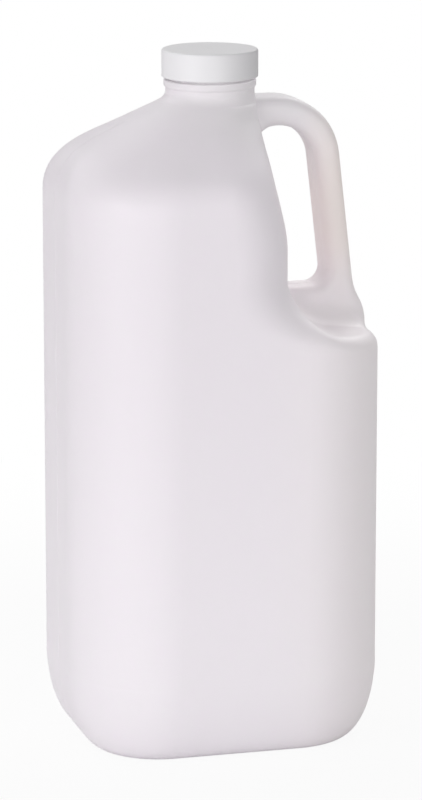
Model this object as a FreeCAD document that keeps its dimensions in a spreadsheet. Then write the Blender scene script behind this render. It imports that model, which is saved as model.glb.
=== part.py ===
import FreeCAD, Part
import math
import os
import Sketcher
from FreeCAD import Vector

# Handled plastic jug with a screw cap.
# Frame: Z up, origin on the table under the middle of the body, the handle on +X, the long side along X.
# Three pieces: the blow-moulded jug (body, hollow handle and neck in one wall), the screw cap
# and the sealing disc inside the cap.

doc = FreeCAD.newDocument("PlasticJug")
sheet = doc.addObject("Spreadsheet::Sheet", "Sizes")


# Every size of the jug in millimetres, or in degrees where it says so.
SIZES = {
    # body
    "body_width": 132.6,  # outside width, along X
    "body_depth": 112.4,  # outside depth, along Y
    "handle_side": 66.3,  # from the neck axis to the side under the handle
    "corner_radius": 38.8,  # radius of the upright corners
    "wall": 0.95,  # wall of the blown body
    "heel_inset": 15.2,  # how far the rounded heel runs in under the side
    "heel_rise": 33.8,  # how far up the side the heel rounding starts
    "ring_width": 7.0,  # width of the flat standing ring under the base
    "push_up": 3.0,  # height of the panel inside the standing ring
    # shoulder
    "neck_base_height": 271.0,  # height where the shoulder slopes meet the neck
    "left_crease_height": 248.2,  # height of the crease on the side away from the handle
    "left_round": 25.7,  # rounding of that crease
    "front_crease_height": 241.1,  # height of the creases at the front and the back
    "front_round": 19.5,  # rounding of those creases
    "neck_blend": 4.5,  # radius of the blend between the shoulder slopes and the neck
    "neck_tuck": 0.15,  # how far that blend ends inside the neck
    "slope_flat": 2.4,  # half the straight side left between the corners where the slopes end
    "neck_flat": 0.3,  # the same where the blend ends
    # bay under the handle
    "bay_reach": 42.3,  # from that side in to the bay's upright wall
    "bay_top": 206.0,  # height of the joint between the upright block and the shoulder
    "bay_blend_height": 200.0,  # height of the centre of the blend between wall and shelf
    "bay_blend": 24.0,  # radius of the blend between wall and shelf
    "shelf_fall": 7.0,  # fall of the shelf away from the neck, degrees
    "rim_radius": 6.5,  # rounding of the shelf's rim
    "tower_corner": 27.0,  # radius of the upright corners beside the handle
    "tower_wall": 18.4,  # distance of the wall under the neck from the neck axis
    "tower_lean_start": 212.0,  # height where that wall starts to lean in
    "tower_lean_end": 246.0,  # height where it turns upright again
    # handle
    "handle_top": 271.1,  # height of the handle's top
    "handle_depth": 21.0,  # handle, along Y
    "handle_thickness": 10.9,  # grip, between the hand opening and the outside
    "handle_top_thickness": 12.2,  # the handle above the hand opening
    "handle_edge": 5.2,  # rounding of the handle's edges
    "handle_inset": 11.9,  # how far the handle's elbow stands in from that side
    "elbow_outer": 27.5,  # outside radius of the elbow
    "opening_elbow": 15.75,  # radius of the hand opening's outer top corner
    "grip_lean": 6.5,  # lean of the grip, degrees
    "flare_start": 194.0,  # height where the grip starts to flare out to the body's side
    "flare_radius": 25.0,  # radius of that flare
    "foot_lean": 28.0,  # lean of the handle's foot below the flare, degrees
    "foot_round": 20.0,  # rounding where the foot turns down beside the body's side
    "foot_inset": 0.3,  # how far the foot ends inside the body's side
    "plate_bottom": 160.0,  # height of the handle's lower end, buried in the body
    "opening_floor": 190.6,  # height of the hand opening's floor
    "opening_corner": 6.5,  # radius of the hand opening's lower corner
    "root_blend": 12.0,  # blend round the handle's lower root
    "inner_root_blend": 8.0,  # the same blend in the hollow, where the wall is thicker
    "top_blend": 9.0,  # blend under the handle's upper root
    "root_overlap": 0.6,  # how far that blend runs into the wall beside the hand opening
    # neck
    "neck_radius": 18.5,  # outside radius of the neck under the cap
    "bead_radius": 19.2,  # outside radius of the bead under the cap
    "bead_height": 3.0,  # height of the bead
    "finish_height": 9.9,  # from the top of the bead to the lip
    "lip_height": 288.8,  # height of the lip above the table
    "finish_radius": 17.5,  # outside radius of the neck behind the thread
    "bore_radius": 15.6,  # inside radius of the mouth
    "thread_pitch": 4.2333,  # rise of the thread in one turn, 6 threads per inch
    "thread_turns": 1.25,  # turns of thread on the neck
    "thread_depth": 1.1,  # how far the neck's thread stands out
    "thread_width": 2.2,  # width of the neck's thread at its root
    "thread_from_lip": 2.9,  # middle of the thread's upper end, below the lip
    # cap and sealing disc
    "cap_radius": 20.0,  # outside radius of the cap
    "cap_wall": 1.0,  # thickness of the cap's skirt
    "cap_top_thickness": 1.4,  # thickness of the cap's top
    "cap_edge": 0.9,  # rounding of the cap's top edge
    "cap_gap": 0.9,  # from the bead to the cap's lower edge
    "cap_thread_turns": 1.1,  # turns of thread inside the cap
    "cap_thread_width": 1.5,  # width of the cap's thread at its root
    "thread_clearance": 0.35,  # gap between a thread's crest and the wall it faces
    "liner_thickness": 1.1,  # thickness of the sealing disc
    "liner_clearance": 0.4,  # gap between the disc and the cap's skirt
}

sheet.set("A1", "name")
sheet.set("B1", "mm or degrees")
for row, (alias, value) in enumerate(SIZES.items(), start=2):
    sheet.set("A%d" % row, alias)
    sheet.set("B%d" % row, str(value))
    sheet.setAlias("B%d" % row, alias)
doc.recompute()


def number(expression):
    result = sheet.evalExpression(expression)
    return float(getattr(result, "Value", result))


def plane(body, role):
    for feature in body.Origin.OriginFeatures:
        if feature.Role == role:
            return feature


def new_sketch(body, name, role, height=None):
    sketch = body.newObject("Sketcher::SketchObject", name)
    sketch.AttachmentSupport = [(plane(body, role), "")]
    sketch.MapMode = "FlatFace"
    if height:
        sketch.setExpression(".AttachmentOffset.Base.z", height)
    return sketch


def dimension(sketch, name, expression, *args):
    # one named sketch dimension, bound to the sheet
    value = number(expression)
    if args[0] in ("Angle",):
        value = math.radians(value)
    index = sketch.addConstraint(Sketcher.Constraint(*args, value))
    sketch.renameConstraint(index, name)
    unit = " * 1 deg" if args[0] == "Angle" else " * 1 mm"
    sketch.setExpression("Constraints.%s" % name, "(%s)%s" % (expression, unit))


# A level outline with four rounded corners: left is on -X, right on +X, both halves alike in Y.
def level_outline(body, name, height, left, right, half, left_round, right_round):
    sketch = new_sketch(body, name, "XY_Plane", height)
    lx = -number(left)
    rx = number(right)
    hy = number(half)
    lr = number(left_round)
    rr = number(right_round)
    up = Vector(0, 0, 1)
    quarter = math.pi / 2

    def line(x0, y0, x1, y1):
        return Part.LineSegment(Vector(x0, y0, 0), Vector(x1, y1, 0))

    def corner(x, y, radius, start):
        circle = Part.Circle(Vector(x, y, 0), up, radius)
        return Part.ArcOfCircle(circle, start, start + quarter)

    sketch.addGeometry([
        line(lx + lr, -hy, rx - rr, -hy),
        corner(rx - rr, -hy + rr, rr, -quarter),
        line(rx, -hy + rr, rx, hy - rr),
        corner(rx - rr, hy - rr, rr, 0),
        line(rx - rr, hy, lx + lr, hy),
        corner(lx + lr, hy - lr, lr, quarter),
        line(lx, hy - lr, lx, -hy + lr),
        corner(lx + lr, -hy + lr, lr, 2 * quarter),
    ], False)
    for index in range(8):
        sketch.addConstraint(Sketcher.Constraint("Tangent", index, 2, (index + 1) % 8, 1))
    sketch.addConstraint(Sketcher.Constraint("Horizontal", 0))
    sketch.addConstraint(Sketcher.Constraint("Vertical", 2))
    sketch.addConstraint(Sketcher.Constraint("Horizontal", 4))
    sketch.addConstraint(Sketcher.Constraint("Vertical", 6))
    sketch.addConstraint(Sketcher.Constraint("Equal", 1, 3))
    sketch.addConstraint(Sketcher.Constraint("Equal", 5, 7))
    dimension(sketch, "right_round", right_round, "Radius", 1)
    dimension(sketch, "left_round", left_round, "Radius", 5)
    dimension(sketch, "left", left, "DistanceX", 6, 1, -1, 1)
    dimension(sketch, "right", right, "DistanceX", -1, 1, 2, 1)
    dimension(sketch, "front", half, "DistanceY", 0, 1, -1, 1)
    dimension(sketch, "back", half, "DistanceY", -1, 1, 4, 1)
    return sketch


def loft(body, name, sketches, kind="PartDesign::AdditiveLoft", ruled=False):
    feature = body.newObject(kind, name)
    feature.Profile = (sketches[0], [""])
    feature.Sections = [(sketch, [""]) for sketch in sketches[1:]]
    feature.Ruled = ruled
    feature.Closed = False
    return feature


# Shapes worked out from the sizes. The jug's outside and the hollow inside it are the same forms,
# the inside one set in by the wall, so each derived value is written once for both.
shape = doc.addObject("Spreadsheet::Sheet", "Shape")
shape.set("A1", "name")
shape.set("B1", "worked out from the sizes")
FORMS = {"outer": "0", "inner": "Sizes.wall"}
HEEL_STEPS = 7
COLUMN_STEPS = 7
ROUND_STEPS = 6
SLOPE_STEPS = 3
BLEND_STEPS = 6


def derived(alias, formula):
    row = derived.row
    shape.set("A%d" % row, alias)
    shape.set("B%d" % row, "=" + formula)
    shape.setAlias("B%d" % row, alias)
    derived.row = row + 1


derived.row = 2
derived("left_side", "Sizes.body_width - Sizes.handle_side")
derived("neck_core", "Sizes.neck_radius - Sizes.neck_tuck")
derived("neck_run_left", "left_side - neck_core")
derived("neck_run_front", "Sizes.body_depth / 2 - neck_core")
derived("rise_left", "(Sizes.neck_base_height - Sizes.left_crease_height) / neck_run_left")
derived("rise_front", "(Sizes.neck_base_height - Sizes.front_crease_height) / neck_run_front")
derived("secant_left", "sqrt(1 + rise_left^2)")
derived("secant_front", "sqrt(1 + rise_front^2)")
derived("bay_wall", "Sizes.handle_side - Sizes.bay_reach")
derived("elbow_reach", "Sizes.handle_side - Sizes.handle_inset - Sizes.elbow_outer")
derived("blend_centre_left", "Sizes.neck_base_height + Sizes.neck_blend * (secant_left - rise_left)")
derived("blend_centre_front", "Sizes.neck_base_height + Sizes.neck_blend * (secant_front - rise_front)")
derived("foot_left", "blend_centre_left - Sizes.neck_blend / secant_left")
derived("foot_front", "blend_centre_front - Sizes.neck_blend / secant_front")
derived("elbow_height", "Sizes.handle_top - Sizes.elbow_outer")
derived("opening_left", "min(Sizes.tower_wall; bay_wall) - Sizes.root_overlap")
derived("opening_top", "Sizes.handle_top - Sizes.handle_top_thickness")
derived("opening_elbow_height", "opening_top - Sizes.opening_elbow")
# the grip keeps its thickness where the two elbows end
derived("elbow_step", "Sizes.elbow_outer - Sizes.opening_elbow - Sizes.handle_thickness")
derived("elbow_drop", "(elbow_height - opening_elbow_height) * sin(Sizes.grip_lean)")
derived("opening_elbow_reach", "elbow_reach + (elbow_step + elbow_drop) / cos(Sizes.grip_lean)")
# the blend under the upper root ends before that elbow starts
derived("top_room", "opening_elbow_reach - opening_left - Sizes.root_overlap / 2")
derived("top_blend", "min(Sizes.top_blend; top_room)")
derived("bead_top", "Sizes.lip_height - Sizes.finish_height")
derived("outer_root_blend", "Sizes.root_blend")
derived("inner_root_blend", "Sizes.inner_root_blend")
derived("neck_thread_low", "Sizes.lip_height - Sizes.thread_from_lip - Sizes.thread_turns * Sizes.thread_pitch")
derived("cap_inside", "Sizes.cap_radius - Sizes.cap_wall")
derived("cap_bottom", "bead_top + Sizes.cap_gap")
derived("cap_ceiling", "Sizes.lip_height + Sizes.liner_thickness")
derived("cap_top", "cap_ceiling + Sizes.cap_top_thickness")
derived("cap_thread_low", "cap_bottom + Sizes.cap_thread_width")
derived("cap_thread_lag", "cap_thread_low + Sizes.thread_pitch / 2 - neck_thread_low")
derived("cap_thread_turn", "360 * cap_thread_lag / Sizes.thread_pitch")

for form, inset in FORMS.items():
    # reach of the upright part on each side
    derived(form + "_reach_left", "left_side - %s" % inset)
    derived(form + "_reach_right", "Sizes.handle_side - %s" % inset)
    derived(form + "_half_depth", "Sizes.body_depth / 2 - %s" % inset)
    derived(form + "_corner", "Sizes.corner_radius - %s" % inset)
    derived(form + "_tower_corner", "Sizes.tower_corner - %s" % inset)
    derived(form + "_neck", "neck_core - %s" % inset)
    # crease, rounding and both ends of the rounding, on each slope
    for side in ("left", "front"):
        rise = "rise_" + side
        secant = "secant_" + side
        crease = "Sizes.%s_crease_height - %s * (%s - %s)" % (side, inset, secant, rise)
        derived(form + "_crease_" + side, crease)
        derived(form + "_round_" + side, "Sizes.%s_round - %s" % (side, inset))
        start = "{0}_crease_{1} - {0}_round_{1} * ({2} - {3})".format(form, side, secant, rise)
        derived(form + "_start_" + side, start)
        derived(form + "_end_" + side, "{0}_start_{1} + {0}_round_{1} / {2}".format(form, side, secant))

# heights of the shoulder's level outlines, the same for the outside and the inside
derived("round_start", "min(outer_start_left; outer_start_front)")
derived("round_end", "max(outer_end_left; outer_end_front)")
derived("blend_start", "min(foot_left; foot_front)")
derived("blend_end", "max(blend_centre_left; blend_centre_front)")
LEVELS = []
for step in range(COLUMN_STEPS):
    LEVELS.append("Sizes.bay_top + (round_start - Sizes.bay_top) * %.4f" % (step / COLUMN_STEPS))
for step in range(ROUND_STEPS + 1):
    LEVELS.append("round_start + (round_end - round_start) * %.4f" % (step / ROUND_STEPS))
for step in range(1, SLOPE_STEPS + 1):
    LEVELS.append("round_end + (blend_start - round_end) * %.4f" % (step / SLOPE_STEPS))
TOWER_LEVELS = len(LEVELS)
for step in range(1, BLEND_STEPS + 1):
    LEVELS.append("blend_start + (blend_end - blend_start) * %.4f" % (step / BLEND_STEPS))

for index, level in enumerate(LEVELS):
    derived("level_%d" % index, level)
    z = "level_%d" % index
    # the wall beside the handle leans in smoothly between two upright stretches
    lean = "(%s - Sizes.tower_lean_start) / (Sizes.tower_lean_end - Sizes.tower_lean_start)" % z
    share = "min(1; max(0; %s))" % lean
    derived("lean_%d" % index, share)
    lean = "lean_%d" % index
    wall = "bay_wall + (Sizes.tower_wall - bay_wall) * {0}^2 * (3 - 2 * {0})".format(lean)
    derived("tower_%d" % index, wall)
    # the sides' straight parts all but vanish up the blend
    share = "max(0; (%s - blend_start) / (blend_end - blend_start))" % z
    derived("flat_%d" % index, "Sizes.slope_flat - (Sizes.slope_flat - Sizes.neck_flat) * " + share)
    for form, inset in FORMS.items():
        for side, half in (("left", "reach_left"), ("front", "half_depth")):
            start = "%s_start_%s" % (form, side)
            end = "%s_end_%s" % (form, side)
            radius = "%s_round_%s" % (form, side)
            crease = "%s_crease_%s" % (form, side)
            curve = "({2} - sqrt({2}^2 - ({0} - {1})^2))".format(z, start, radius)
            slope = "(({0} - {1}) / rise_{2})".format(z, crease, side)
            run = "({0} <= {1} ? 0 : ({0} <= {2} ? {3} : {4}))".format(z, start, end, curve, slope)
            # near the neck the slope gives way to the blend
            drop = "max(0; blend_centre_%s - %s)" % (side, z)
            blend = "%s_neck + Sizes.neck_blend - sqrt(Sizes.neck_blend^2 - %s^2)" % (form, drop)
            reach = "(%s > foot_%s ? %s : %s_%s - %s)" % (z, side, blend, form, half, run)
            derived("%s_%s_%d" % (form, side, index), reach)
        # the corners close up to a near circle as the depth shrinks to the neck's
        depth = "%s_front_%d" % (form, index)
        left = "1 - ({0} - {1}_neck) / ({1}_half_depth - {1}_neck)".format(depth, form)
        derived("%s_shut_%d" % (form, index), left)
        for name, full in (("corner", "_corner"), ("tower", "_tower_corner")):
            full = form + full
            power = "(({0}_half_depth - {0}_neck) / ({1} - {0}_neck))".format(form, full)
            law = "{0}_neck + ({1} - {0}_neck) * (1 - {0}_shut_{2}^{3}) - flat_{2} * {0}_shut_{2}"
            derived("%s_%s_%d" % (form, name, index), law.format(form, full, index, power))

doc.recompute()


def edges_where(feature, test):
    # names of the edges whose middle and ends all pass the test
    names = []
    for index, edge in enumerate(feature.Shape.Edges):
        middle = edge.valueAt((edge.FirstParameter + edge.LastParameter) / 2)
        points = [middle] + [vertex.Point for vertex in edge.Vertexes]
        if all(test(point) for point in points):
            names.append("Edge%d" % (index + 1))
    return names


def build_lower(form):
    # heel, upright block and the bay under the handle
    tag = form.capitalize()
    inset = FORMS[form]
    body = doc.addObject("PartDesign::Body", tag + "Lower")
    left = "Shape.%s_reach_left" % form
    right = "Shape.%s_reach_right" % form
    half_depth = "Shape.%s_half_depth" % form
    corner = "Shape.%s_corner" % form
    sketches = []
    for step in range(HEEL_STEPS + 1):
        turn = 90.0 * step / HEEL_STEPS
        height = "%s + (Sizes.heel_rise - %s) * (1 - cos(%.4f))" % (inset, inset, turn)
        run = "(Sizes.heel_inset - %s) * (1 - sin(%.4f))" % (inset, turn)
        sketches.append(level_outline(
            body, "%sHeel%d" % (tag, step), height,
            "%s - %s" % (left, run), "%s - %s" % (right, run),
            "%s - %s" % (half_depth, run), "%s - %s" % (corner, run), "%s - %s" % (corner, run)))
    loft(body, tag + "HeelLoft", sketches)
    block = body.newObject("PartDesign::Pad", tag + "Block")
    block.Profile = sketches[-1]
    block.setExpression("Length", "Sizes.bay_top - Sizes.heel_rise")

    # bay: upright wall, blend and falling shelf, cut right through along Y
    sketch = new_sketch(body, tag + "BayProfile", "XZ_Plane")
    wall = number("Shape.bay_wall - %s" % inset)
    blend = number("Sizes.bay_blend + %s" % inset)
    centre = Vector(wall + blend, number("Sizes.bay_blend_height"), 0)
    fall = math.radians(number("Sizes.shelf_fall"))
    foot = Vector(centre.x - blend * math.sin(fall), centre.y - blend * math.cos(fall), 0)
    reach = number("Sizes.body_width")
    top = number("Sizes.bay_top + 20")
    end = Vector(reach, foot.y - (reach - foot.x) * math.tan(fall), 0)
    arc = Part.ArcOfCircle(Part.Circle(centre, Vector(0, 0, 1), blend), math.pi, 1.5 * math.pi - fall)
    sketch.addGeometry([
        Part.LineSegment(Vector(wall, top, 0), Vector(wall, centre.y, 0)),
        arc,
        Part.LineSegment(foot, end),
        Part.LineSegment(end, Vector(reach, top, 0)),
        Part.LineSegment(Vector(reach, top, 0), Vector(wall, top, 0)),
    ], False)
    sketch.addConstraint(Sketcher.Constraint("Tangent", 0, 2, 1, 1))
    sketch.addConstraint(Sketcher.Constraint("Tangent", 1, 2, 2, 1))
    sketch.addConstraint(Sketcher.Constraint("Coincident", 2, 2, 3, 1))
    sketch.addConstraint(Sketcher.Constraint("Coincident", 3, 2, 4, 1))
    sketch.addConstraint(Sketcher.Constraint("Coincident", 4, 2, 0, 1))
    sketch.addConstraint(Sketcher.Constraint("Vertical", 0))
    sketch.addConstraint(Sketcher.Constraint("Vertical", 3))
    sketch.addConstraint(Sketcher.Constraint("Horizontal", 4))
    dimension(sketch, "wall", "Shape.bay_wall - %s" % inset, "DistanceX", -1, 1, 0, 1)
    dimension(sketch, "blend", "Sizes.bay_blend + %s" % inset, "Radius", 1)
    dimension(sketch, "blend_height", "Sizes.bay_blend_height", "DistanceY", -1, 1, 1, 3)
    dimension(sketch, "fall", "0 - Sizes.shelf_fall", "Angle", 2)
    dimension(sketch, "reach", "Sizes.body_width", "DistanceX", -1, 1, 3, 1)
    dimension(sketch, "top", "Sizes.bay_top + 20", "DistanceY", -1, 1, 4, 1)
    bay = body.newObject("PartDesign::Pocket", tag + "Bay")
    bay.Profile = sketch
    bay.SideType = "Symmetric"
    bay.setExpression("Length", "Sizes.body_depth * 2")

    # the base is pushed up inside a flat standing ring, with walls at 45 degrees
    margin = "Sizes.heel_inset + Sizes.ring_width - 1.4142 * %s" % inset
    rise = "Sizes.push_up + %s" % inset
    outlines = []
    for name, height, run in (
        ("PushUpFoot", "0", margin),
        ("PushUpTop", rise, "%s + %s" % (margin, rise)),
    ):
        outlines.append(level_outline(
            body, tag + name, height,
            "Shape.left_side - (%s)" % run, "Sizes.handle_side - (%s)" % run,
            "Sizes.body_depth / 2 - (%s)" % run,
            "Sizes.corner_radius - (%s)" % run, "Sizes.corner_radius - (%s)" % run))
    loft(body, tag + "PushUp", outlines, "PartDesign::SubtractiveLoft", True)
    doc.recompute()
    return body


def round_rim(form, body):
    # the shelf's rim is rounded tightly, and the rounding opens out up the blend to the tower's corners
    inset = FORMS[form]
    low = number("Sizes.rim_radius - %s" % inset)
    high = number("Sizes.tower_corner - %s" % inset)
    centre_x = number("Shape.bay_wall + Sizes.bay_blend")
    centre_z = number("Sizes.bay_blend_height")
    sweep = 90 - number("Sizes.shelf_fall")
    width = number("Shape.%s_reach_right" % form)
    depth = number("Shape.%s_half_depth" % form)
    corner = number("Shape.%s_corner" % form)
    lid = number("Sizes.bay_top")

    def radius_at(point):
        turn = math.degrees(math.atan2(centre_z - point.z, centre_x - point.x))
        return high + (low - high) * min(1.0, max(0.0, turn / sweep))

    def on_side(point):
        x = point.x - (width - corner)
        y = abs(point.y) - (depth - corner)
        if x > 0 and y > 0:
            return abs(math.hypot(x, y) - corner) < 0.01
        return abs(abs(point.y) - depth) < 0.01 or abs(point.x - width) < 0.01

    def along(point):
        # grows on the way from the top of the front corner, down, round the rim and up the back one
        return point.y + math.copysign(point.z, point.y)

    rows = []
    forward = None
    half = number("Sizes.bay_blend_height - Sizes.bay_blend") / 2
    for index, edge in enumerate(body.Shape.Edges):
        first = edge.valueAt(edge.FirstParameter)
        last = edge.valueAt(edge.LastParameter)
        middle = edge.valueAt((edge.FirstParameter + edge.LastParameter) / 2)
        if min(first.z, last.z, middle.z) < half or min(first.z, last.z) > lid - 0.001:
            continue
        if all(on_side(point) for point in (first, middle, last)):
            # both radii are given in the direction of the first edge that is taken
            ahead = along(first) < along(last)
            forward = ahead if forward is None else forward
            ends = (first, last) if ahead == forward else (last, first)
            rows.append((index + 1, radius_at(ends[0]), radius_at(ends[1])))
    rim = doc.addObject("Part::Fillet", form.capitalize() + "Rim")
    rim.Base = body
    rim.Edges = rows
    doc.recompute()
    return rim


def build_tower(form):
    # shoulder and the column beside the hand opening, one smooth loft, and a short one up the neck
    tag = form.capitalize()
    inset = FORMS[form]
    body = doc.addObject("PartDesign::Body", tag + "Tower")
    sketches = []
    for index in range(len(LEVELS) if form == "outer" else TOWER_LEVELS):
        sketches.append(level_outline(
            body, "%sLevel%d" % (tag, index), "Shape.level_%d" % index,
            "Shape.%s_left_%d" % (form, index), "Shape.tower_%d - %s" % (index, inset),
            "Shape.%s_front_%d" % (form, index),
            "Shape.%s_corner_%d" % (form, index), "Shape.%s_tower_%d" % (form, index)))
    loft(body, tag + "TowerLoft", sketches[:TOWER_LEVELS])
    doc.recompute()
    if form == "outer":
        loft(body, tag + "NeckBlend", sketches[TOWER_LEVELS - 1:])
    doc.recompute()
    return body


def build_handle(form):
    # a flat plate with the hand opening cut through it, its edges rounded to an oval section
    tag = form.capitalize()
    inset = FORMS[form]
    body = doc.addObject("PartDesign::Body", tag + "Handle")
    lean = math.radians(number("Sizes.grip_lean"))
    out = Vector(math.cos(lean), math.sin(lean), 0)
    up = Vector(0, 0, 1)

    def arc(centre, radius, start, end):
        return Part.ArcOfCircle(Part.Circle(centre, up, radius), start, end)

    def outline(name, reach, height, radius, bottom, left, blend):
        # the shared start of both outlines: top line and elbow; the grip line starts where the elbow ends
        sketch = new_sketch(body, tag + name, "XZ_Plane")
        centre = Vector(number(reach), number(height), 0)
        r = number(radius)
        top = centre.y + r
        start = Vector(centre.x + r * out.x, centre.y + r * out.y, 0)
        sketch.addGeometry([
            Part.LineSegment(Vector(number(left) + number(blend), top, 0), Vector(centre.x, top, 0)),
            arc(centre, r, lean, math.pi / 2),
        ], False)
        return sketch, start, number(bottom), number(left), top - number(blend)

    def close(sketch, parts, joints, reach, height, radius, bottom, left):
        # the grip line is the third piece of the outline, then come the parts' own joints
        sketch.addGeometry(parts, False)
        sketch.addConstraint(Sketcher.Constraint("Tangent", 0, 2, 1, 2))
        sketch.addConstraint(Sketcher.Constraint("Tangent", 1, 1, 2, 2))
        for joint in joints:
            sketch.addConstraint(Sketcher.Constraint(*joint))
        sketch.addConstraint(Sketcher.Constraint("Coincident", 4, 2, 5, 1))
        sketch.addConstraint(Sketcher.Constraint("Horizontal", 0))
        sketch.addConstraint(Sketcher.Constraint("Horizontal", 4))
        sketch.addConstraint(Sketcher.Constraint("Vertical", 5))
        dimension(sketch, "elbow_radius", radius, "Radius", 1)
        dimension(sketch, "elbow_reach", reach, "DistanceX", -1, 1, 1, 3)
        dimension(sketch, "elbow_height", height, "DistanceY", -1, 1, 1, 3)
        dimension(sketch, "lean", "90 + Sizes.grip_lean", "Angle", 2)
        dimension(sketch, "left", left, "DistanceX", -1, 1, 5, 1)
        dimension(sketch, "bottom", bottom, "DistanceY", -1, 1, 5, 1)

    # outside: below the grip the line flares out, runs down slanting and ends beside the body's side
    reach = "Shape.elbow_reach"
    height = "Shape.elbow_height"
    radius = "Sizes.elbow_outer - %s" % inset
    bottom = "Sizes.plate_bottom + %s" % inset
    left = "Sizes.tower_wall / 4"
    side = "Sizes.handle_side - Sizes.foot_inset - %s" % inset
    sketch, start, low, x, top = outline("HandleOutline", reach, height, radius, bottom, left, "0")
    flare = number("Sizes.flare_radius + %s" % inset)
    turn = number("Sizes.foot_round - %s" % inset)
    slant = math.radians(number("Sizes.foot_lean"))
    slope = Vector(math.cos(slant), math.sin(slant), 0)
    level = number("Sizes.flare_start")
    bend = Vector(start.x + (start.y - level) * math.tan(lean), level, 0)
    centre = Vector(bend.x + flare * out.x, bend.y + flare * out.y, 0)
    knee = Vector(centre.x - flare * slope.x, centre.y - flare * slope.y, 0)
    heel = Vector(number(side) - turn * (1 - slope.x), 0, 0)
    heel.y = knee.y - (heel.x - knee.x) / math.tan(slant)
    pivot = Vector(heel.x - turn * slope.x, heel.y - turn * slope.y, 0)
    close(sketch, [
        Part.LineSegment(bend, start),
        arc(centre, flare, math.pi + lean, math.pi + slant),
        Part.LineSegment(Vector(number(side), low, 0), Vector(x, low, 0)),
        Part.LineSegment(Vector(x, low, 0), Vector(x, top, 0)),
        Part.LineSegment(heel, knee),
        arc(pivot, turn, 0, slant),
        Part.LineSegment(Vector(number(side), low, 0), Vector(number(side), pivot.y, 0)),
    ], [
        ("Tangent", 2, 1, 3, 1),
        ("Tangent", 3, 2, 6, 2),
        ("Tangent", 6, 1, 7, 2),
        ("Tangent", 7, 1, 8, 2),
        ("Coincident", 8, 1, 4, 1),
        ("Coincident", 5, 2, 0, 1),
        ("Vertical", 8),
    ], reach, height, radius, bottom, left)
    dimension(sketch, "flare_radius", "Sizes.flare_radius + %s" % inset, "Radius", 3)
    dimension(sketch, "flare_start", "Sizes.flare_start", "DistanceY", -1, 1, 3, 1)
    dimension(sketch, "foot_lean", "90 + Sizes.foot_lean", "Angle", 6)
    dimension(sketch, "foot_round", "Sizes.foot_round - %s" % inset, "Radius", 7)
    dimension(sketch, "foot_side", side, "DistanceX", -1, 1, 8, 1)
    plate = body.newObject("PartDesign::Pad", tag + "HandlePlate")
    plate.Profile = sketch
    plate.SideType = "Symmetric"
    plate.setExpression("Length", "Sizes.handle_depth - 2 * %s" % inset)

    # hand opening: rounded corners at the floor and under the upper root, where the blend runs into the wall
    reach = "Shape.opening_elbow_reach"
    height = "Shape.opening_elbow_height"
    radius = "Sizes.opening_elbow + %s" % inset
    bottom = "Sizes.opening_floor - %s" % inset
    left = "Shape.opening_left - %s" % inset
    blend = "Shape.top_blend + %s" % inset
    sketch, start, floor, x, top = outline("OpeningOutline", reach, height, radius, bottom, left, blend)
    corner = number("Sizes.opening_corner + %s" % inset)
    middle = Vector(0, floor + corner, 0)
    middle.x = start.x + (start.y - middle.y) * math.tan(lean) - corner / math.cos(lean)
    foot = Vector(middle.x + corner * out.x, middle.y + corner * out.y, 0)
    close(sketch, [
        Part.LineSegment(foot, start),
        arc(middle, corner, -math.pi / 2, lean),
        Part.LineSegment(Vector(middle.x, floor, 0), Vector(x, floor, 0)),
        Part.LineSegment(Vector(x, floor, 0), Vector(x, top, 0)),
        arc(Vector(x + number(blend), top, 0), number(blend), math.pi / 2, math.pi),
    ], [
        ("Tangent", 2, 1, 3, 2),
        ("Tangent", 3, 1, 4, 1),
        ("Tangent", 5, 2, 6, 2),
        ("Tangent", 6, 1, 0, 1),
    ], reach, height, radius, bottom, left)
    dimension(sketch, "blend", blend, "Radius", 6)
    dimension(sketch, "corner", "Sizes.opening_corner + %s" % inset, "Radius", 3)
    opening = body.newObject("PartDesign::Pocket", tag + "HandOpening")
    opening.Profile = sketch
    opening.SideType = "Symmetric"
    opening.setExpression("Length", "Sizes.handle_depth * 2")
    doc.recompute()
    half = number("Sizes.handle_depth / 2 - %s" % inset)
    buried = number("Sizes.tower_wall / 4")


    def on_flat_side(point):
        return abs(abs(point.y) - half) < 0.001

    # every edge of the two flat sides, except the plate's buried upright and bottom ones
    names = []
    for name in edges_where(opening, on_flat_side):
        edge = opening.Shape.Edges[int(name[4:]) - 1]
        middle = edge.valueAt((edge.FirstParameter + edge.LastParameter) / 2)
        if middle.x > buried + 0.01 and middle.z > low + 0.01:
            names.append(name)
    edges = body.newObject("PartDesign::Fillet", tag + "HandleEdges")
    edges.Base = (opening, names)
    edges.setExpression("Radius", "Sizes.handle_edge - %s" % inset)
    doc.recompute()
    return body


def build_neck():
    # neck, bead and thread wall, turned about Z; the bore is cut with the hollow
    body = doc.addObject("PartDesign::Body", "OuterNeck")
    sketch = new_sketch(body, "NeckProfile", "XZ_Plane")
    neck = "Sizes.neck_radius"
    points = [
        ("0", "Shape.blend_start - 4"),
        ("Sizes.bore_radius", "Shape.blend_start - 4"),
        (neck, "Shape.blend_start + 0.6"),
        (neck, "Shape.bead_top - Sizes.bead_height - 0.5"),
        ("Sizes.bead_radius", "Shape.bead_top - Sizes.bead_height + 0.5"),
        ("Sizes.bead_radius", "Shape.bead_top - 0.4"),
        ("Sizes.bead_radius - 0.5", "Shape.bead_top"),
        ("Sizes.finish_radius", "Shape.bead_top"),
        ("Sizes.finish_radius", "Sizes.lip_height - 0.6"),
        ("Sizes.finish_radius - 0.6", "Sizes.lip_height"),
        ("0", "Sizes.lip_height"),
    ]
    polygon(sketch, points)
    turned = body.newObject("PartDesign::Revolution", "NeckTurned")
    turned.Profile = sketch
    turned.ReferenceAxis = (sketch, ["V_Axis"])
    turned.Angle = 360
    doc.recompute()
    return body


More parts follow.
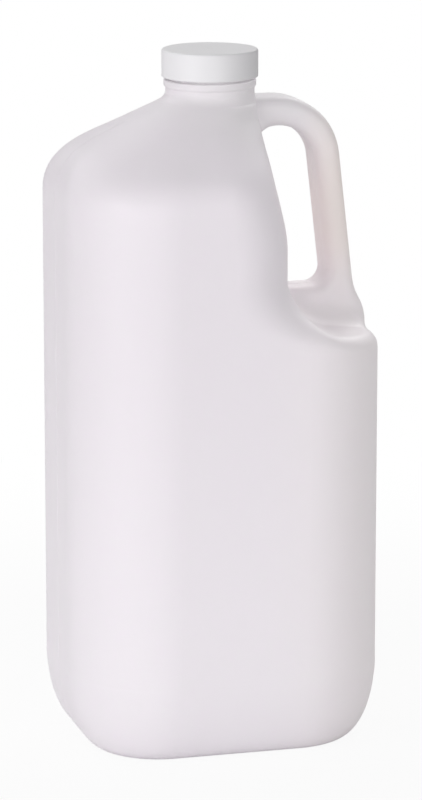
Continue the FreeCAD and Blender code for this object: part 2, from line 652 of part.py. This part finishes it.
def thread(body, name, root, crest, low, width, turns):
    # one helical ridge: root and crest radii, height of its lower end, width at the root
    sketch = new_sketch(body, name + "Profile", "XZ_Plane")
    polygon(sketch, [
        (root, "%s - %s / 2" % (low, width)),
        (crest, "%s - %s / 4" % (low, width)),
        (crest, "%s + %s / 4" % (low, width)),
        (root, "%s + %s / 2" % (low, width)),
    ])
    ridge = body.newObject("PartDesign::AdditiveHelix", name)
    ridge.Profile = sketch
    ridge.ReferenceAxis = (sketch, ["V_Axis"])
    ridge.Mode = "pitch-turns-angle"
    ridge.setExpression("Pitch", "Sizes.thread_pitch")
    ridge.setExpression("Turns", turns)
    ridge.LeftHanded = False
    doc.recompute()
    return ridge


def polygon(sketch, points):
    # a closed outline of straight lines, each corner placed from the sheet
    corners = [Vector(number(x), number(y), 0) for x, y in points]
    count = len(corners)
    lines = [Part.LineSegment(corners[i], corners[(i + 1) % count]) for i in range(count)]
    sketch.addGeometry(lines, False)
    for index in range(count):
        sketch.addConstraint(Sketcher.Constraint("Coincident", index, 2, (index + 1) % count, 1))
    for index, (x, y) in enumerate(points):
        if x == "0":
            sketch.addConstraint(Sketcher.Constraint("PointOnObject", index, 1, -2))
        else:
            dimension(sketch, "x%d" % index, x, "DistanceX", -1, 1, index, 1)
        dimension(sketch, "y%d" % index, y, "DistanceY", -1, 1, index, 1)


def build_bore():
    # the hollow of the neck: the blown neck below, the straight bore of the mouth above
    body = doc.addObject("PartDesign::Body", "InnerNeck")
    sketch = new_sketch(body, "BoreProfile", "XZ_Plane")
    blown = "Sizes.neck_radius - Sizes.wall"
    points = [
        ("0", "Shape.blend_start - 4"),
        ("Sizes.bore_radius", "Shape.blend_start - 4"),
        (blown, "Shape.blend_start - 1"),
        (blown, "Shape.bead_top - Sizes.bead_height - 2"),
        ("Sizes.bore_radius", "Shape.bead_top - Sizes.bead_height"),
        ("Sizes.bore_radius", "Sizes.lip_height + 2"),
        ("0", "Sizes.lip_height + 2"),
    ]
    polygon(sketch, points)
    turned = body.newObject("PartDesign::Revolution", "BoreTurned")
    turned.Profile = sketch
    turned.ReferenceAxis = (sketch, ["V_Axis"])
    turned.Angle = 360
    doc.recompute()
    return body


def seam_between(whole, first, second, test):
    # edges of the fused solid that lie on the skins of both solids it was made from
    found = []
    for index, edge in enumerate(whole.Shape.Edges):
        span = edge.LastParameter - edge.FirstParameter
        points = [edge.valueAt(edge.FirstParameter + span * share) for share in (0.2, 0.5, 0.8)]
        if not all(test(point) for point in points):
            continue
        on_both = True
        for point in points:
            dot = Part.Vertex(point)
            for solid in (first, second):
                gap = min(shell.distToShape(dot)[0] for shell in solid.Shape.Shells)
                if gap > 0.001:
                    on_both = False
        if on_both:
            found.append(index + 1)
    return found


def build_form(form):
    # one whole form of the jug: the outside, or the hollow inside it
    tag = form.capitalize()
    rim = round_rim(form, build_lower(form))
    tower = build_tower(form)
    neck = build_neck() if form == "outer" else build_bore()
    trunk = doc.addObject("Part::MultiFuse", tag + "Trunk")
    trunk.Shapes = [rim, tower, neck]
    handle = build_handle(form)
    doc.recompute()
    whole = doc.addObject("Part::MultiFuse", tag + "Joined")
    whole.Shapes = [trunk, handle]
    doc.recompute()
    # the handle's lower root is blended all round
    split = number("(Sizes.opening_floor + Shape.opening_elbow_height) / 2")
    radius = number("Shape.%s_root_blend" % form)
    rows = []
    for row in seam_between(whole, trunk, handle, lambda point: point.z < split):
        rows.append((row, radius, radius))
    roots = doc.addObject("Part::Fillet", tag + "Roots")
    roots.Base = whole
    roots.Edges = rows
    doc.recompute()
    return roots


# 1. The jug: one blown wall, so the hollow is cut from the outside form.
outside = build_form("outer")
hollow = build_form("inner")
jug_shell = doc.addObject("Part::Cut", "JugShell")
jug_shell.Base = outside
jug_shell.Tool = hollow
neck_thread = doc.addObject("PartDesign::Body", "NeckThread")
thread(neck_thread, "NeckRidge", "Sizes.finish_radius - 0.5",
       "Sizes.finish_radius + Sizes.thread_depth", "Shape.neck_thread_low",
       "Sizes.thread_width", "Sizes.thread_turns")
jug = doc.addObject("Part::MultiFuse", "Jug")
jug.Shapes = [jug_shell, neck_thread]
jug.Refine = False
jug.Label = "jug_body"

# 2. The cap: a plain skirt and top turned about Z, with one helical ridge inside.
cap_shell = doc.addObject("PartDesign::Body", "CapShell")
cap_sketch = new_sketch(cap_shell, "CapProfile", "XZ_Plane")
polygon(cap_sketch, [
    ("Shape.cap_inside", "Shape.cap_bottom + 0.3"),
    ("Shape.cap_inside + 0.3", "Shape.cap_bottom"),
    ("Sizes.cap_radius - 0.3", "Shape.cap_bottom"),
    ("Sizes.cap_radius", "Shape.cap_bottom + 0.3"),
    ("Sizes.cap_radius", "Shape.cap_top"),
    ("0", "Shape.cap_top"),
    ("0", "Shape.cap_ceiling"),
    ("Shape.cap_inside", "Shape.cap_ceiling"),
])
cap_turned = cap_shell.newObject("PartDesign::Revolution", "CapTurned")
cap_turned.Profile = cap_sketch
cap_turned.ReferenceAxis = (cap_sketch, ["V_Axis"])
cap_turned.Angle = 360
doc.recompute()
cap_corner = cap_shell.newObject("PartDesign::Fillet", "CapTopEdge")
cap_rim = number("Sizes.cap_radius")
cap_lid = number("Shape.cap_top")


def on_top_edge(point):
    return abs(point.z - cap_lid) < 0.01 and abs(math.hypot(point.x, point.y) - cap_rim) < 0.01


cap_corner.Base = (cap_turned, edges_where(cap_turned, on_top_edge))
cap_corner.setExpression("Radius", "Sizes.cap_edge")
cap_thread = doc.addObject("PartDesign::Body", "CapThread")
thread(cap_thread, "CapRidge", "Shape.cap_inside + 0.4",
       "Sizes.finish_radius + Sizes.thread_clearance", "Shape.cap_thread_low",
       "Sizes.cap_thread_width", "Sizes.cap_thread_turns")
cap_thread.Placement.Rotation = FreeCAD.Rotation(Vector(0, 0, 1), 1)
cap_thread.setExpression(".Placement.Rotation.Angle", "Shape.cap_thread_turn * 1 deg")
cap = doc.addObject("Part::MultiFuse", "Cap")
cap.Shapes = [cap_shell, cap_thread]
cap.Label = "cap"

# 3. The sealing disc: a foam disc held in the cap's top, pressed on the lip.
liner = doc.addObject("Part::Cylinder", "Liner")
liner.setExpression("Radius", "Shape.cap_inside - Sizes.liner_clearance")
liner.setExpression("Height", "Sizes.liner_thickness")
liner.setExpression(".Placement.Base.z", "Sizes.lip_height")
liner.Label = "liner"
doc.recompute()

for item in doc.Objects:
    if "Invalid" in item.State or "Error" in item.State:
        raise RuntimeError("failed: " + item.Name)

pieces = [jug, cap, liner]
for piece in pieces:
    solid = piece.Shape
    if solid.isNull() or not solid.isValid() or len(solid.Solids) != 1:
        raise RuntimeError("bad shape: " + piece.Label)

os.makedirs("parts", exist_ok=True)
for piece in pieces:
    piece.Shape.exportStep(os.path.join("parts", piece.Label + ".step"))
    print(piece.Label, round(piece.Shape.Volume / 1000, 2), "cm3")
print("hollow", round(hollow.Shape.Volume / 1e6, 3), "litres to the lip")
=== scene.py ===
import math

import bmesh
import bpy
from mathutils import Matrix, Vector


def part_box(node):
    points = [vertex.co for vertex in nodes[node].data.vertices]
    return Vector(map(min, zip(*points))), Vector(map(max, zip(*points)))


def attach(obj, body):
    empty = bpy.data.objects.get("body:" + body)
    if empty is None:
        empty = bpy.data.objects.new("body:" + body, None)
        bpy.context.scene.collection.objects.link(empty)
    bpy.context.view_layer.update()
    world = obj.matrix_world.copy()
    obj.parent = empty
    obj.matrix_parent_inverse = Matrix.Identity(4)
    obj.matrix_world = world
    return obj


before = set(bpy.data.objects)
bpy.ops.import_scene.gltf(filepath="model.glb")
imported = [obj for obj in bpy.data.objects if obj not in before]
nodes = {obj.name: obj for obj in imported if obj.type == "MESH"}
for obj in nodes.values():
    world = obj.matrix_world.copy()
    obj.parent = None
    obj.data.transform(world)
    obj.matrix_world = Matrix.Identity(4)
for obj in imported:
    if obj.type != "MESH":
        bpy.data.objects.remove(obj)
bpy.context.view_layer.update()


# ---------------------------------------------------------------------------------------------
# Camera. The jug is seen from a little left of the front and from slightly above, through a
# long lens, so that the handle's bay shows on the right and the top of the cap shows too.
# ---------------------------------------------------------------------------------------------
CAMERA_PLACE = Vector((-0.4446, -1.6001, 0.5166))
CAMERA_AIM = Vector((0.0005, 0.0, 0.1425))
CAMERA_LENS = 182.07  # millimetres, as is the sensor
CAMERA_SENSOR = 36.0

camera_data = bpy.data.cameras.new("camera")
camera_data.lens = CAMERA_LENS
camera_data.sensor_width = CAMERA_SENSOR
camera = bpy.data.objects.new("camera", camera_data)
bpy.context.collection.objects.link(camera)
camera.location = CAMERA_PLACE
camera.rotation_euler = (CAMERA_AIM - CAMERA_PLACE).to_track_quat("-Z", "Y").to_euler()
bpy.context.scene.camera = camera
bpy.context.scene.view_settings.view_transform = "Standard"


# ---------------------------------------------------------------------------------------------
# Floor. A plain pale floor that runs on past the view, a hair below the standing ring. To the
# camera it is nearly white and keeps some of the shadow near the jug, and is all white further out.
# ---------------------------------------------------------------------------------------------
FLOOR_HALF = 6.0
FLOOR_CUTS = 3
FLOOR_COLOR = (0.9, 0.9, 0.9, 1)
FLOOR_ROUGHNESS = 0.9
FLOOR_SHEEN = 0.1
FLOOR_DROP = 0.0002
FLOOR_WHITE_SHARE = (0.92, 1.0)  # how far the camera sees plain white, near the jug and far out
FLOOR_WHITE_REACH = (0.15, 0.5)  # distances from the middle that count as near and as far out


def deselect_all():
    if bpy.context.mode != "OBJECT":
        bpy.ops.object.mode_set(mode="OBJECT")
    bpy.ops.object.select_all(action="DESELECT")


def new_material(name):
    material = bpy.data.materials.new(name)
    material.use_nodes = True
    tree = material.node_tree
    return material, tree, tree.nodes["Principled BSDF"]


def add_node(tree, kind, inputs=(), **values):
    # values are the node's own settings, and inputs are pairs of a socket and what it is set to
    node = tree.nodes.new(kind)
    for key, value in values.items():
        setattr(node, key, value)
    for key, value in inputs:
        node.inputs[key].default_value = value
    return node


deselect_all()
bpy.ops.mesh.primitive_plane_add(size=2 * FLOOR_HALF, location=(0, 0, 0))
floor = bpy.context.object
floor.name = "floor"
bpy.ops.object.mode_set(mode="EDIT")
bpy.ops.mesh.subdivide(number_cuts=FLOOR_CUTS)
bpy.ops.transform.translate(value=(0, 0, -FLOOR_DROP))
deselect_all()
floor_material, tree, shader = new_material("white_floor")
shader.inputs["Base Color"].default_value = FLOOR_COLOR
shader.inputs["Roughness"].default_value = FLOOR_ROUGHNESS
shader.inputs["Specular IOR Level"].default_value = FLOOR_SHEEN
glow = add_node(tree, "ShaderNodeEmission", (("Strength", 1.0),))
path = add_node(tree, "ShaderNodeLightPath")
place = add_node(tree, "ShaderNodeTexCoord")
away = add_node(tree, "ShaderNodeVectorMath", operation="LENGTH")
whiter = add_node(tree, "ShaderNodeMapRange", interpolation_type="SMOOTHSTEP")
whiter.inputs["From Min"].default_value = FLOOR_WHITE_REACH[0]
whiter.inputs["From Max"].default_value = FLOOR_WHITE_REACH[1]
whiter.inputs["To Min"].default_value = FLOOR_WHITE_SHARE[0]
whiter.inputs["To Max"].default_value = FLOOR_WHITE_SHARE[1]
share = add_node(tree, "ShaderNodeMath", operation="MULTIPLY")
mix = add_node(tree, "ShaderNodeMixShader")
tree.links.new(place.outputs["Object"], away.inputs[0])
tree.links.new(away.outputs["Value"], whiter.inputs["Value"])
tree.links.new(path.outputs["Is Camera Ray"], share.inputs[0])
tree.links.new(whiter.outputs["Result"], share.inputs[1])
tree.links.new(share.outputs[0], mix.inputs[0])
tree.links.new(shader.outputs[0], mix.inputs[1])
tree.links.new(glow.outputs[0], mix.inputs[2])
tree.links.new(mix.outputs[0], tree.nodes["Material Output"].inputs[0])
floor.data.materials.append(floor_material)


# ---------------------------------------------------------------------------------------------
# Light. An even surround, which the camera itself sees as white, wide soft lamps from the left,
# the front and behind, and two that stand for the light which the jug's milky wall lets through.
# ---------------------------------------------------------------------------------------------
SURROUND = 0.33  # strength of the world, where 1 would be white
LAMP_AIM = Vector((0, 0, 0.15))
LAMP_DISTANCE = 2.2
LAMP_SIZE = 1.4

world = bpy.data.worlds.new("surround")
bpy.context.scene.world = world
world.use_nodes = True
tree = world.node_tree
background = tree.nodes["Background"]
background.inputs["Color"].default_value = (1, 1, 1, 1)
path = add_node(tree, "ShaderNodeLightPath")
bright = add_node(tree, "ShaderNodeMath", ((1, SURROUND),), operation="MAXIMUM")
tree.links.new(path.outputs["Is Camera Ray"], bright.inputs[0])
tree.links.new(bright.outputs[0], background.inputs["Strength"])


def add_lamp(name, turn, tilt, level):
    # turn goes from the front (-Y) towards +X and tilt goes up from level, both in degrees;
    # level is how bright the lamp alone makes a white surface that faces it, where 1 is white
    turn = math.radians(turn)
    tilt = math.radians(tilt)
    data = bpy.data.lights.new(name, "AREA")
    data.size = LAMP_SIZE
    data.energy = level * (math.pi * LAMP_DISTANCE) ** 2
    lamp = bpy.data.objects.new(name, data)
    bpy.context.collection.objects.link(lamp)
    lamp.visible_camera = False
    way = Vector((math.sin(turn) * math.cos(tilt), -math.cos(turn) * math.cos(tilt), math.sin(tilt)))
    lamp.location = LAMP_AIM + LAMP_DISTANCE * way
    lamp.rotation_euler = (-way).to_track_quat("-Z", "Y").to_euler()
    return lamp


add_lamp("key", -60, 10, 0.41)
add_lamp("front", -10, 10, 0.25)
add_lamp("back_left", -150, 36, 0.19)
add_lamp("back_right", 158, 36, 0.20)

# these two light nothing but the jug and its own marks, and only the floor stands in their way
jug_alone = bpy.data.collections.new("jug_alone")
jug_alone.objects.link(nodes["jug_body"])
floor_alone = bpy.data.collections.new("floor_alone")
floor_alone.objects.link(floor)
for name, turn, tilt, level in (("through_front", 45, 8, 0.165), ("through_back", 135, 36, 0.25)):
    lamp = add_lamp(name, turn, tilt, level)
    lamp.light_linking.receiver_collection = jug_alone
    lamp.light_linking.blocker_collection = floor_alone


# ---------------------------------------------------------------------------------------------
# The jug: body, hollow handle and neck blown in one wall of natural, uncoloured polyethylene.
# The wall is milky and waxy. Its colour has painted shade: darker upwards, where less light comes up
# from the floor, and greyer round the neck, in the shade of the cap. It is thin in the handle, where it
# looks warmer. The standing ring is scuffed.
# ---------------------------------------------------------------------------------------------
JUG_MILKY = ((0.915, 0.87, 0.915, 1), (0.935, 0.89, 0.935, 1))
# painted shade: the wall's colour towards the top, darker for the less light that the floor throws up
# there
UPPER_PAINTED_SHADE = (0.86, 0.815, 0.86, 1)
JUG_WARM = (0.91, 0.86, 0.87, 1)
HANDLE_WARM = (0.925, 0.845, 0.82, 1)
# painted shade: the wall's colour round the neck, greyer for the shade under the cap
NECK_PAINTED_SHADE = (0.81, 0.78, 0.805, 1)
JUG_CLOUDS = 14.0  # noise scale of the soft changes of colour
JUG_PEEL = 260.0  # noise scale of the faint orange peel that the mould leaves
JUG_ROUGHNESS = (0.42, 0.50)
JUG_RELIEF = 0.00006
JUG_SCATTER = (0.0006, 0.00055, 0.0006)
JUG_SCATTER_SHARE = 0.3
JUG_IOR = 1.5
UPPER_SHADE_RISE = (0.03, 0.215)  # heights between which the painted shade darkens the wall towards the top
WARM_SIDE = (0.0, 0.06)  # the warmer tint comes in between these, towards the handle
WARM_SHARE = 0.75
HANDLE_SIDE = (0.030, 0.042)  # the handle's own tint comes in between these across
HANDLE_FOOT = (0.185, 0.215)  # and between these heights
NECK_SHADE_CENTRE = (0.014, 0.0, 0.272)
NECK_SHADE_REACH = (0.058, 0.018)  # distances from there between which the painted shade round the neck comes in
SCUFF_TOP = 0.0035
SCUFF_GRAIN = 900.0
SCUFF_SPREAD = (0.4, 0.6)  # noise values between which a scuff comes in
SCUFF_ROUGHER = 0.25

skin = bpy.data.node_groups.new("moulded_skin", "ShaderNodeTree")
for name, low, high, start in (
    ("Cloud size", 1.0, 4000.0, 30.0),
    ("Peel size", 1.0, 8000.0, 400.0),
    ("Roughness low", 0.0, 1.0, 0.3),
    ("Roughness high", 0.0, 1.0, 0.4),
):
    socket = skin.interface.new_socket(name=name, in_out="INPUT", socket_type="NodeSocketFloat")
    socket.min_value = low
    socket.max_value = high
    socket.default_value = start
for name in ("Color A", "Color B"):
    skin.interface.new_socket(name=name, in_out="INPUT", socket_type="NodeSocketColor")
skin.interface.new_socket(name="Color", in_out="OUTPUT", socket_type="NodeSocketColor")
skin.interface.new_socket(name="Roughness", in_out="OUTPUT", socket_type="NodeSocketFloat")
skin.interface.new_socket(name="Height", in_out="OUTPUT", socket_type="NodeSocketFloat")
group_in = add_node(skin, "NodeGroupInput")
group_out = add_node(skin, "NodeGroupOutput")
place = add_node(skin, "ShaderNodeTexCoord")
cloud = add_node(skin, "ShaderNodeTexNoise", (("Detail", 3.0),))
peel = add_node(skin, "ShaderNodeTexNoise", (("Detail", 2.0),))
tint = add_node(skin, "ShaderNodeMix", data_type="RGBA")
gloss = add_node(skin, "ShaderNodeMapRange")
link = skin.links.new
link(place.outputs["Object"], cloud.inputs["Vector"])
link(place.outputs["Object"], peel.inputs["Vector"])
link(group_in.outputs["Cloud size"], cloud.inputs["Scale"])
link(group_in.outputs["Peel size"], peel.inputs["Scale"])
link(cloud.outputs["Fac"], tint.inputs["Factor"])
link(group_in.outputs["Color A"], tint.inputs["A"])
link(group_in.outputs["Color B"], tint.inputs["B"])
link(tint.outputs["Result"], group_out.inputs["Color"])
link(peel.outputs["Fac"], gloss.inputs["Value"])
link(group_in.outputs["Roughness low"], gloss.inputs["To Min"])
link(group_in.outputs["Roughness high"], gloss.inputs["To Max"])
link(gloss.outputs["Result"], group_out.inputs["Roughness"])
link(peel.outputs["Fac"], group_out.inputs["Height"])


def moulded(name, colors, cloud_size, peel_size, roughness, relief):
    # a plastic whose colour and roughness each vary softly between two values
    material, tree, shader = new_material(name)
    group = add_node(tree, "ShaderNodeGroup", node_tree=skin, name=skin.name)
    group.inputs["Cloud size"].default_value = cloud_size
    group.inputs["Peel size"].default_value = peel_size
    group.inputs["Roughness low"].default_value = roughness[0]
    group.inputs["Roughness high"].default_value = roughness[1]
    group.inputs["Color A"].default_value = colors[0]
    group.inputs["Color B"].default_value = colors[1]
    bump = add_node(tree, "ShaderNodeBump", (("Strength", 1.0), ("Distance", relief)))
    tree.links.new(group.outputs["Color"], shader.inputs["Base Color"])
    tree.links.new(group.outputs["Roughness"], shader.inputs["Roughness"])
    tree.links.new(group.outputs["Height"], bump.inputs["Height"])
    tree.links.new(bump.outputs["Normal"], shader.inputs["Normal"])
    return material


def fade(tree, value, start, end, most=1.0):
    # rises from 0 at start to most at end; end may be the smaller of the two
    node = add_node(tree, "ShaderNodeMapRange", interpolation_type="SMOOTHSTEP")
    flipped = start > end
    node.inputs["From Min"].default_value = min(start, end)
    node.inputs["From Max"].default_value = max(start, end)
    node.inputs["To Min"].default_value = most if flipped else 0.0
    node.inputs["To Max"].default_value = 0.0 if flipped else most
    tree.links.new(value, node.inputs["Value"])
    return node.outputs["Result"]


def product(tree, first, second):
    # where both masks hold
    node = add_node(tree, "ShaderNodeMath", operation="MULTIPLY")
    tree.links.new(first, node.inputs[0])
    tree.links.new(second, node.inputs[1])
    return node.outputs[0]


def stain(tree, color, mask, other):
    # the color, turned into the other one where the mask holds
    node = add_node(tree, "ShaderNodeMix", data_type="RGBA")
    tree.links.new(mask, node.inputs["Factor"])
    tree.links.new(color, node.inputs["A"])
    node.inputs["B"].default_value = other
    return node.outputs["Result"]


def dress(node, material):
    node.data.materials.clear()
    node.data.materials.append(material)


jug_material = moulded(
    "natural_polyethylene", JUG_MILKY, JUG_CLOUDS, JUG_PEEL, JUG_ROUGHNESS, JUG_RELIEF)
tree = jug_material.node_tree
shader = tree.nodes["Principled BSDF"]
group = tree.nodes[skin.name]
shader.inputs["Subsurface Weight"].default_value = JUG_SCATTER_SHARE
shader.inputs["Subsurface Radius"].default_value = JUG_SCATTER
shader.inputs["Subsurface Scale"].default_value = 1.0
shader.inputs["IOR"].default_value = JUG_IOR
place = add_node(tree, "ShaderNodeTexCoord")
parts = add_node(tree, "ShaderNodeSeparateXYZ")
tree.links.new(place.outputs["Object"], parts.inputs[0])
away = add_node(tree, "ShaderNodeVectorMath", ((1, NECK_SHADE_CENTRE),), operation="DISTANCE")
tree.links.new(place.outputs["Object"], away.inputs[0])
warm_side = fade(tree, parts.outputs["X"], *WARM_SIDE, WARM_SHARE)
in_handle = product(
    tree, fade(tree, parts.outputs["X"], *HANDLE_SIDE), fade(tree, parts.outputs["Z"], *HANDLE_FOOT))
# painted shade: greyer round the neck and the top of the handle, for the shade under the cap
painted_shade_near_neck = fade(tree, away.outputs["Value"], *NECK_SHADE_REACH)
# painted shade: darker towards the top, for the light that the floor throws on the lower part
painted_shade_upwards = fade(tree, parts.outputs["Z"], *UPPER_SHADE_RISE)
color = stain(tree, group.outputs["Color"], painted_shade_upwards, UPPER_PAINTED_SHADE)
color = stain(tree, color, warm_side, JUG_WARM)
color = stain(tree, color, in_handle, HANDLE_WARM)
# the painted shade round the neck goes on last
color = stain(tree, color, painted_shade_near_neck, NECK_PAINTED_SHADE)
tree.links.new(color, shader.inputs["Base Color"])
# the ring that the jug stands on is scuffed
scratches = add_node(tree, "ShaderNodeTexNoise", (("Scale", SCUFF_GRAIN), ("Detail", 4.0)))
tree.links.new(place.outputs["Object"], scratches.inputs["Vector"])
at_foot = fade(tree, parts.outputs["Z"], SCUFF_TOP, 0.0)
scuffed = product(tree, at_foot, fade(tree, scratches.outputs["Fac"], *SCUFF_SPREAD))
rough = add_node(tree, "ShaderNodeMath", ((1, SCUFF_ROUGHER),), operation="MULTIPLY_ADD")
tree.links.new(scuffed, rough.inputs[0])
tree.links.new(group.outputs["Roughness"], rough.inputs[2])
tree.links.new(rough.outputs[0], shader.inputs["Roughness"])
dress(nodes["jug_body"], jug_material)


# ---------------------------------------------------------------------------------------------
# The parting line: where the two halves of the mould met, they left a fine raised line down
# the middle of the jug's sides, over the shoulder and all along the handle, outside and inside.
# ---------------------------------------------------------------------------------------------
LINE_WIDTH = 0.0005
LINE_HEIGHT = 0.00007
LINE_ROOT = 0.00025  # how deep it is set in the wall
LINE_LOW = 0.0012
LINE_HIGH = 0.262
MERGE_WITHIN = 0.000001
PROBE = 0.0003  # how far in front of a face its ray starts


def select_faces(piece, wanted):
    # selects the faces of the piece being edited whose middle and normal pass the test
    mesh = bmesh.from_edit_mesh(piece.data)
    for face in mesh.faces:
        face.select = wanted(face.calc_center_median(), face.normal)
    mesh.select_flush_mode()
    bmesh.update_edit_mesh(piece.data)


def finish_piece(piece, material, body):
    deselect_all()
    dress(piece, material)
    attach(piece, body)


def inside_wall(middle, normal):
    # a face of the inner wall looks into the hollow, so a ray from it meets the jug again
    start = middle + PROBE * normal
    return nodes["jug_body"].ray_cast(start, Vector((0, 1, 0)))[0]


deselect_all()
line = nodes["jug_body"].copy()
line.data = nodes["jug_body"].data.copy()
line.name = "parting_line"
bpy.context.collection.objects.link(line)
line.select_set(True)
bpy.context.view_layer.objects.active = line
bpy.ops.object.mode_set(mode="EDIT")
bpy.ops.mesh.select_all(action="SELECT")
bpy.ops.mesh.remove_doubles(threshold=MERGE_WITHIN)
for side in (1, -1):
    bpy.ops.mesh.select_all(action="SELECT")
    bpy.ops.mesh.bisect(plane_co=(0, side * LINE_WIDTH / 2, 0), plane_no=(0, side, 0), clear_outer=True)
for height, way in ((LINE_HIGH, 1), (LINE_LOW, -1)):
    bpy.ops.mesh.select_all(action="SELECT")
    bpy.ops.mesh.bisect(plane_co=(0, 0, height), plane_no=(0, 0, way), clear_outer=True)
select_faces(line, inside_wall)
bpy.ops.mesh.delete(type="FACE")
bpy.ops.object.mode_set(mode="OBJECT")
wall = line.modifiers.new("ridge", "SOLIDIFY")
wall.thickness = LINE_HEIGHT + LINE_ROOT
wall.offset = (LINE_HEIGHT - LINE_ROOT) / (LINE_HEIGHT + LINE_ROOT)
bpy.ops.object.modifier_apply(modifier=wall.name)
finish_piece(line, jug_material, "jug")
jug_alone.objects.link(line)


# ---------------------------------------------------------------------------------------------
# The pinch-off: where the mould closed on the end of the tube that the jug was blown from, it
# left a welded seam across the raised panel in the middle of the base.
# ---------------------------------------------------------------------------------------------
PANEL_HEIGHT = 0.003
SEAM_HALF = 0.034
SEAM_WIDTH = 0.0016
SEAM_DROP = 0.0007
SEAM_ROOT = 0.0004  # how deep it is set in the panel
SEAM_TAPER = 0.0004
SEAM_CREST = 0.00021
SEAM_EDGE = 0.000192
SEAM_SMOOTH = 50  # degrees
FACING = 0.9  # a face whose normal has more than this along an axis looks that way

deselect_all()
bpy.ops.mesh.primitive_cube_add(size=1, location=(0, 0, 0))
seam = bpy.context.object
seam.name = "pinch_off"
bpy.ops.object.mode_set(mode="EDIT")
bpy.ops.transform.resize(value=(2 * SEAM_HALF, SEAM_WIDTH, SEAM_DROP + SEAM_ROOT))
bpy.ops.transform.translate(value=(0, 0, PANEL_HEIGHT + (SEAM_ROOT - SEAM_DROP) / 2))
select_faces(seam, lambda middle, normal: abs(normal.x) > FACING)
bpy.ops.mesh.select_all(action="INVERT")
bpy.ops.mesh.subdivide(number_cuts=1)
select_faces(seam, lambda middle, normal: normal.z < -FACING)
bpy.ops.mesh.inset(thickness=SEAM_TAPER, depth=SEAM_CREST)
bpy.ops.object.mode_set(mode="OBJECT")
edges = seam.modifiers.new("edges", "BEVEL")
edges.width = SEAM_EDGE
edges.segments = 2
edges.limit_method = "ANGLE"
bpy.ops.object.modifier_apply(modifier=edges.name)
bpy.ops.object.shade_smooth_by_angle(angle=math.radians(SEAM_SMOOTH))
finish_piece(seam, jug_material, "jug")
jug_alone.objects.link(seam)


# ---------------------------------------------------------------------------------------------
# The cap: moulded in opaque white polypropylene, with a plain skirt and a slightly rounded edge.
# It screws on the neck.
# ---------------------------------------------------------------------------------------------
CAP_WHITE = ((0.85, 0.84, 0.86, 1), (0.875, 0.865, 0.885, 1))
CAP_CLOUDS = 40.0
CAP_PEEL = 900.0
CAP_ROUGHNESS = (0.36, 0.42)
CAP_RELIEF = 0.00002

cap_material = moulded(
    "white_polypropylene", CAP_WHITE, CAP_CLOUDS, CAP_PEEL, CAP_ROUGHNESS, CAP_RELIEF)
dress(nodes["cap"], cap_material)


# ---------------------------------------------------------------------------------------------
# The gate mark: a low round nub in the middle of the cap's top, where the plastic entered the
# mould and was snapped off.
# ---------------------------------------------------------------------------------------------
GATE_RADIUS = 0.0009
GATE_HEIGHT = 0.00006
GATE_ROOT = 0.0003  # how deep it is set in the cap
GATE_SIDES = 32
GATE_EDGE = 0.000036
GATE_SMOOTH = 40  # degrees

deselect_all()
cap_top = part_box("cap")[1][2]
bpy.ops.mesh.primitive_cylinder_add(
    vertices=GATE_SIDES, radius=GATE_RADIUS, depth=GATE_HEIGHT + GATE_ROOT, location=(0, 0, 0))
gate = bpy.context.object
gate.name = "gate_mark"
bpy.ops.object.mode_set(mode="EDIT")
bpy.ops.transform.translate(value=(0, 0, cap_top + (GATE_HEIGHT - GATE_ROOT) / 2))
select_faces(gate, lambda middle, normal: normal.z > FACING)
bpy.ops.mesh.bevel(offset=GATE_EDGE, segments=3)
bpy.ops.object.mode_set(mode="OBJECT")
bpy.ops.object.shade_smooth_by_angle(angle=math.radians(GATE_SMOOTH))
finish_piece(gate, cap_material, "screw_cap")


# ---------------------------------------------------------------------------------------------
# The sealing disc: punched from white polyethylene foam and pressed into the cap, where it seals
# against the lip of the neck.
# ---------------------------------------------------------------------------------------------
FOAM_WHITE = ((0.86, 0.85, 0.82, 1), (0.90, 0.89, 0.86, 1))
FOAM_CLOUDS = 300.0
FOAM_CELLS = 2600.0  # noise scale of the foam's cells
FOAM_ROUGHNESS = (0.75, 0.9)
FOAM_RELIEF = 0.0002

disc_material = moulded(
    "white_foam", FOAM_WHITE, FOAM_CLOUDS, FOAM_CELLS, FOAM_ROUGHNESS, FOAM_RELIEF)
dress(nodes["liner"], disc_material)
